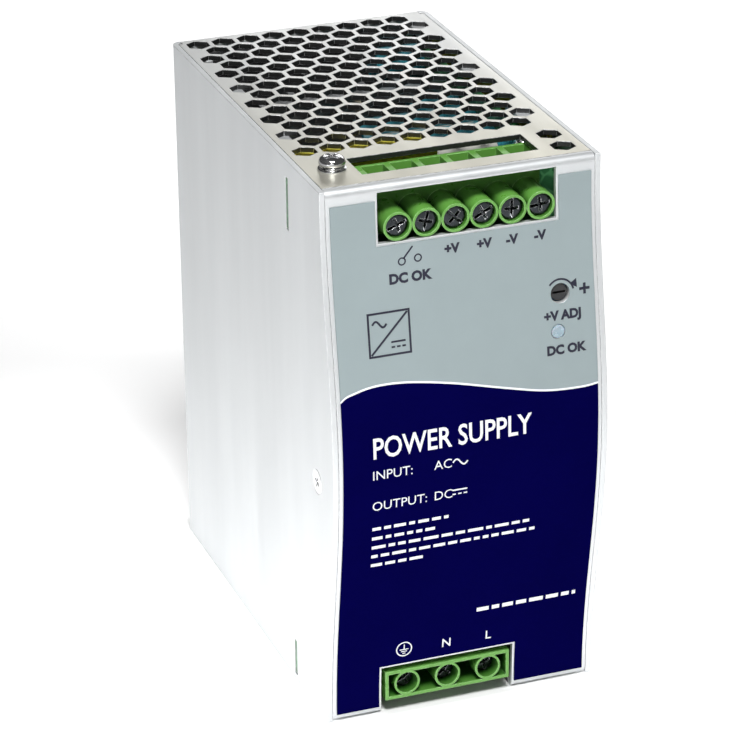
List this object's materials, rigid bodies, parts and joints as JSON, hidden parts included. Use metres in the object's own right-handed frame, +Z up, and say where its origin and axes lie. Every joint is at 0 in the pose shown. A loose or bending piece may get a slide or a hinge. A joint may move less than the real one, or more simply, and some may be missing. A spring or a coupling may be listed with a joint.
{
  "type": "din rail power supply",
  "caption": "Tall metal-cased power supply that clips onto a mounting rail, with hexagonal vents, a bulged printed front and green screw terminals at top and bottom.",
  "frame": {"origin": "middle of the base, in the middle of the overall width and depth", "axes": "+X to the right seen from the front, -Y out of the front, +Y towards the rail, +Z up"},
  "size_m": [0.063, 0.1134, 0.1284],
  "materials": {
    "bare_sheet": "satin",
    "front_film": "satin print",
    "bright_screw": "polished",
    "zinc_steel": "zinc plated",
    "circuit_board": "solder mask",
    "black_plastic": "moulded",
    "yellow_film": "film",
    "terminal_plastic": "moulded",
    "contact_metal": "tinned",
    "dark_screw": "blackened",
    "clamp_steel": "plated",
    "blue_plastic": "moulded",
    "lamp_lens": "diffusing",
    "ferrite": "sintered",
    "can_sleeve": "shrunk sleeve",
    "copper_winding": "enamelled copper",
    "grey_plastic": "moulded",
    "heatsink_metal": "extruded",
    "fuse_ceramic": "glazed"
  },
  "bodies": {
    "case": {"chassis": "bare_sheet", "front_panel": "bare_sheet", "front_label": "front_film", "top_cover": "bare_sheet", "bottom_cover": "bare_sheet", "side_screws": "bright_screw", "top_screw": "bright_screw", "bottom_screws": "bright_screw", "rail_bracket": "zinc_steel", "bracket_screws": "bright_screw", "latch_spring": "zinc_steel", "latch_retainer": "zinc_steel", "main_board": "circuit_board", "output_board": "circuit_board", "input_board": "circuit_board", "control_board": "circuit_board", "board_headers": "black_plastic", "insulation_sheets": "yellow_film", "board_standoffs": "zinc_steel", "board_screws": "bright_screw", "output_terminal_housing": "terminal_plastic", "output_contacts": "contact_metal", "input_terminal_housing": "terminal_plastic", "input_contacts": "contact_metal", "trimmer_body": "blue_plastic", "status_led": "lamp_lens", "transformer_core": "ferrite", "transformer_bobbin": "black_plastic", "transformer_winding": "yellow_film", "bulk_capacitors": "can_sleeve", "output_capacitors": "can_sleeve", "output_choke": "copper_winding", "emi_choke": "copper_winding", "x_capacitors": "grey_plastic", "bridge_rectifier": "black_plastic", "primary_heatsink": "heatsink_metal", "secondary_heatsink": "heatsink_metal", "power_transistors": "black_plastic", "fuse": "fuse_ceramic", "dc_ok_relay": "grey_plastic"},
    "latch": {"rail_latch": "zinc_steel"},
    "trimmer": {"trimmer_rotor": "black_plastic"},
    "output_screw_1": {"output_screw_1": "dark_screw"},
    "output_clamp_1": {"output_clamp_1": "clamp_steel"},
    "output_screw_2": {"output_screw_2": "dark_screw"},
    "output_clamp_2": {"output_clamp_2": "clamp_steel"},
    "output_screw_3": {"output_screw_3": "dark_screw"},
    "output_clamp_3": {"output_clamp_3": "clamp_steel"},
    "output_screw_4": {"output_screw_4": "dark_screw"},
    "output_clamp_4": {"output_clamp_4": "clamp_steel"},
    "output_screw_5": {"output_screw_5": "dark_screw"},
    "output_clamp_5": {"output_clamp_5": "clamp_steel"},
    "output_screw_6": {"output_screw_6": "dark_screw"},
    "output_clamp_6": {"output_clamp_6": "clamp_steel"},
    "input_screw_1": {"input_screw_1": "dark_screw"},
    "input_clamp_1": {"input_clamp_1": "clamp_steel"},
    "input_screw_2": {"input_screw_2": "dark_screw"},
    "input_clamp_2": {"input_clamp_2": "clamp_steel"},
    "input_screw_3": {"input_screw_3": "dark_screw"},
    "input_clamp_3": {"input_clamp_3": "clamp_steel"}
  },
  "joints": [
    {"name": "latch_pull", "type": "slide", "parent": "case", "child": "latch", "axis": [0, 0, -1], "range_m": [0, 0.0045], "stiffness_N_per_m": 1200, "springref_m": -0.003, "deforming": ["latch_spring"]},
    {"name": "trimmer_turn", "type": "hinge", "parent": "case", "child": "trimmer", "pos_m": [0.0214, -0.0505, 0.0958], "axis": [0, 1, 0], "range_deg": [-135, 135]},
    {"name": "output_screw_1_turn", "type": "hinge", "parent": "case", "child": "output_screw_1", "pos_m": [-0.01448, -0.0447, 0.11555], "axis": [0, 1, 0], "range_deg": [0, 1370]},
    {"name": "output_clamp_1_slide", "type": "slide", "parent": "case", "child": "output_clamp_1", "axis": [0, -1, 0], "range_m": [0, 0.0019]},
    {"name": "output_screw_2_turn", "type": "hinge", "parent": "case", "child": "output_screw_2", "pos_m": [-0.00802, -0.0447, 0.11555], "axis": [0, 1, 0], "range_deg": [0, 1370]},
    {"name": "output_clamp_2_slide", "type": "slide", "parent": "case", "child": "output_clamp_2", "axis": [0, -1, 0], "range_m": [0, 0.0019]},
    {"name": "output_screw_3_turn", "type": "hinge", "parent": "case", "child": "output_screw_3", "pos_m": [-0.00158, -0.0447, 0.11555], "axis": [0, 1, 0], "range_deg": [0, 1370]},
    {"name": "output_clamp_3_slide", "type": "slide", "parent": "case", "child": "output_clamp_3", "axis": [0, -1, 0], "range_m": [0, 0.0019]},
    {"name": "output_screw_4_turn", "type": "hinge", "parent": "case", "child": "output_screw_4", "pos_m": [0.00487, -0.0447, 0.11555], "axis": [0, 1, 0], "range_deg": [0, 1370]},
    {"name": "output_clamp_4_slide", "type": "slide", "parent": "case", "child": "output_clamp_4", "axis": [0, -1, 0], "range_m": [0, 0.0019]},
    {"name": "output_screw_5_turn", "type": "hinge", "parent": "case", "child": "output_screw_5", "pos_m": [0.01132, -0.0447, 0.11555], "axis": [0, 1, 0], "range_deg": [0, 1370]},
    {"name": "output_clamp_5_slide", "type": "slide", "parent": "case", "child": "output_clamp_5", "axis": [0, -1, 0], "range_m": [0, 0.0019]},
    {"name": "output_screw_6_turn", "type": "hinge", "parent": "case", "child": "output_screw_6", "pos_m": [0.01777, -0.0447, 0.11555], "axis": [0, 1, 0], "range_deg": [0, 1370]},
    {"name": "output_clamp_6_slide", "type": "slide", "parent": "case", "child": "output_clamp_6", "axis": [0, -1, 0], "range_m": [0, 0.0019]},
    {"name": "input_screw_1_turn", "type": "hinge", "parent": "case", "child": "input_screw_1", "pos_m": [-0.0129, -0.0447, 0.00675], "axis": [0, 1, 0], "range_deg": [0, 1370]},
    {"name": "input_clamp_1_slide", "type": "slide", "parent": "case", "child": "input_clamp_1", "axis": [0, -1, 0], "range_m": [0, 0.0019]},
    {"name": "input_screw_2_turn", "type": "hinge", "parent": "case", "child": "input_screw_2", "pos_m": [-0.0033, -0.0447, 0.00675], "axis": [0, 1, 0], "range_deg": [0, 1370]},
    {"name": "input_clamp_2_slide", "type": "slide", "parent": "case", "child": "input_clamp_2", "axis": [0, -1, 0], "range_m": [0, 0.0019]},
    {"name": "input_screw_3_turn", "type": "hinge", "parent": "case", "child": "input_screw_3", "pos_m": [0.0063, -0.0447, 0.00675], "axis": [0, 1, 0], "range_deg": [0, 1370]},
    {"name": "input_clamp_3_slide", "type": "slide", "parent": "case", "child": "input_clamp_3", "axis": [0, -1, 0], "range_m": [0, 0.0019]}
  ],
  "couplings": [
    {"joint": "output_screw_1_turn", "follows": "output_clamp_1_slide", "rad_per_m": 12566},
    {"joint": "output_screw_2_turn", "follows": "output_clamp_2_slide", "rad_per_m": 12566},
    {"joint": "output_screw_3_turn", "follows": "output_clamp_3_slide", "rad_per_m": 12566},
    {"joint": "output_screw_4_turn", "follows": "output_clamp_4_slide", "rad_per_m": 12566},
    {"joint": "output_screw_5_turn", "follows": "output_clamp_5_slide", "rad_per_m": 12566},
    {"joint": "output_screw_6_turn", "follows": "output_clamp_6_slide", "rad_per_m": 12566},
    {"joint": "input_screw_1_turn", "follows": "input_clamp_1_slide", "rad_per_m": 12566},
    {"joint": "input_screw_2_turn", "follows": "input_clamp_2_slide", "rad_per_m": 12566},
    {"joint": "input_screw_3_turn", "follows": "input_clamp_3_slide", "rad_per_m": 12566}
  ]
}
